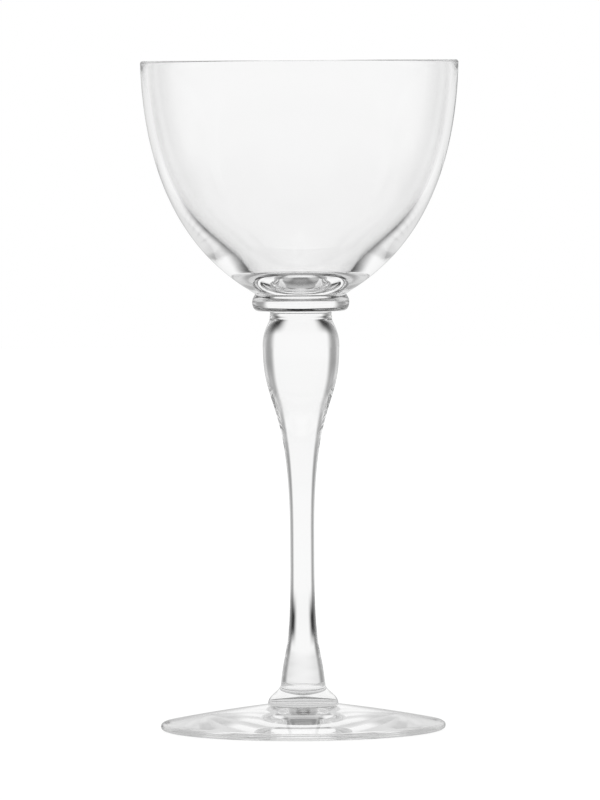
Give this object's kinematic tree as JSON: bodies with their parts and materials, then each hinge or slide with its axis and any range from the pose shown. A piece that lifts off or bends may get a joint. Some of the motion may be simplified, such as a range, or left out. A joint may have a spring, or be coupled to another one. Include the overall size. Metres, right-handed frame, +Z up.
{
  "type": "stemmed water glass",
  "caption": "Clear crystal stemmed water glass: a deep round bowl on a ring-shaped merese, a solid baluster stem that tapers to a slim shank, and a domed disc foot.",
  "frame": {"origin": "centre of the ring that the foot stands on, on the table plane", "axes": "+Z up along the axis that every piece is turned about; the glass is round, so X and Y are free"},
  "size_m": [0.095, 0.095, 0.2],
  "materials": {
    "clear_crystal": "clear, fire-polished"
  },
  "bodies": {
    "root": {"foot": "clear_crystal", "foot_collar": "clear_crystal", "stem": "clear_crystal", "neck_wafer": "clear_crystal", "merese": "clear_crystal", "bowl": "clear_crystal"}
  },
  "joints": []
}
